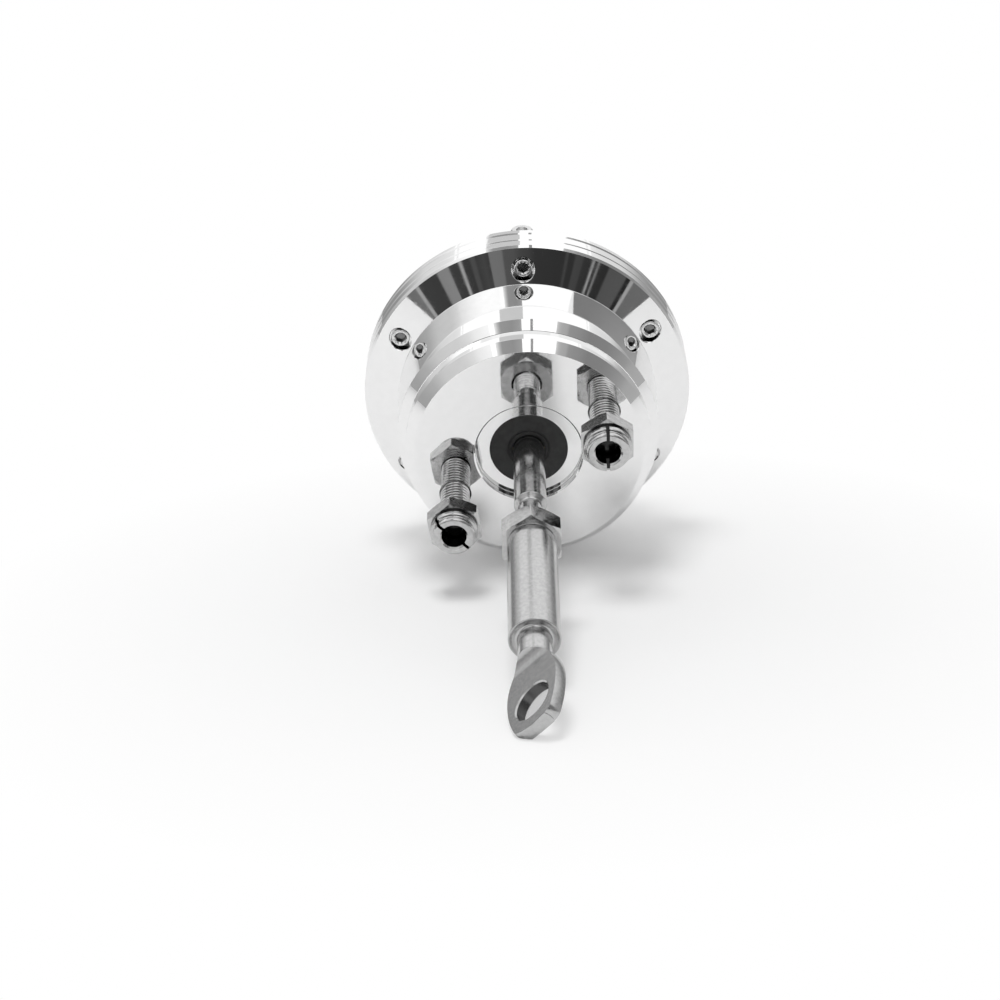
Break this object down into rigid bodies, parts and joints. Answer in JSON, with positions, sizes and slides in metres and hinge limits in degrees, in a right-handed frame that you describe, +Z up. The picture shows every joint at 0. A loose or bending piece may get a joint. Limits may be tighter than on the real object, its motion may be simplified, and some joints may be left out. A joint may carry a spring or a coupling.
{
  "type": "wastegate actuator",
  "caption": "Adjustable wastegate actuator: polished round canister with spring and rolling diaphragm, push rod with flat eye, and mounting studs with lock nuts.",
  "frame": {"origin": "centre of the front mounting face, on the rod's axis", "axes": "-Y along the rod, the way it pushes out; +Z up, through the hose nipple; +X to the right when the rod points at the viewer"},
  "size_m": [0.0688, 0.1377, 0.0688],
  "materials": {
    "polished_aluminium": "turned and mirror polished",
    "machined_aluminium": "fine turned",
    "ground_steel": "ground and polished stainless",
    "satin_steel": "satin turned stainless",
    "plated_steel": "bright zinc plate",
    "screw_steel": "grey stainless",
    "spring_steel": "shot-peened wire",
    "bronze": "sintered",
    "black_rubber": "matt"
  },
  "bodies": {
    "canister": {"front_housing": "polished_aluminium", "diaphragm_ring": "polished_aluminium", "rear_cap": "polished_aluminium", "cap_screws": "screw_steel", "diaphragm": "black_rubber", "main_spring": "spring_steel", "spring_seat": "plated_steel", "rod_bush": "bronze", "bush_circlip": "spring_steel", "dust_seal": "black_rubber", "stud_right": "plated_steel", "stud_left": "plated_steel", "hose_nipple": "satin_steel", "nipple_seal": "black_rubber"},
    "rod": {"actuator_rod": "ground_steel", "piston": "machined_aluminium", "retainer_plate": "machined_aluminium", "piston_washer": "plated_steel", "piston_nut": "plated_steel"},
    "jam_nut": {"jam_nut": "plated_steel"},
    "rod_end": {"rod_end": "satin_steel"},
    "lock_nut_right": {"lock_nut_right": "plated_steel"},
    "lock_nut_left": {"lock_nut_left": "plated_steel"}
  },
  "joints": [
    {"name": "rod_stroke", "type": "slide", "parent": "canister", "child": "rod", "axis": [0, -1, 0], "range_m": [0, 0.012], "stiffness_N_per_m": 6000, "springref_m": -0.011, "deforming": ["main_spring", "diaphragm"]},
    {"name": "jam_nut_turn", "type": "hinge", "parent": "rod", "child": "jam_nut", "pos_m": [0, -0.0313, 0], "axis": [0, -1, 0], "continuous": true},
    {"name": "rod_end_turn", "type": "hinge", "parent": "rod", "child": "rod_end", "pos_m": [0, -0.05, 0], "axis": [0, -1, 0], "continuous": true},
    {"name": "lock_nut_right_turn", "type": "hinge", "parent": "canister", "child": "lock_nut_right", "pos_m": [0.01527, -0.012, 0.00905], "axis": [0, -1, 0], "continuous": true},
    {"name": "lock_nut_left_turn", "type": "hinge", "parent": "canister", "child": "lock_nut_left", "pos_m": [-0.01527, -0.012, -0.00905], "axis": [0, -1, 0], "continuous": true}
  ]
}
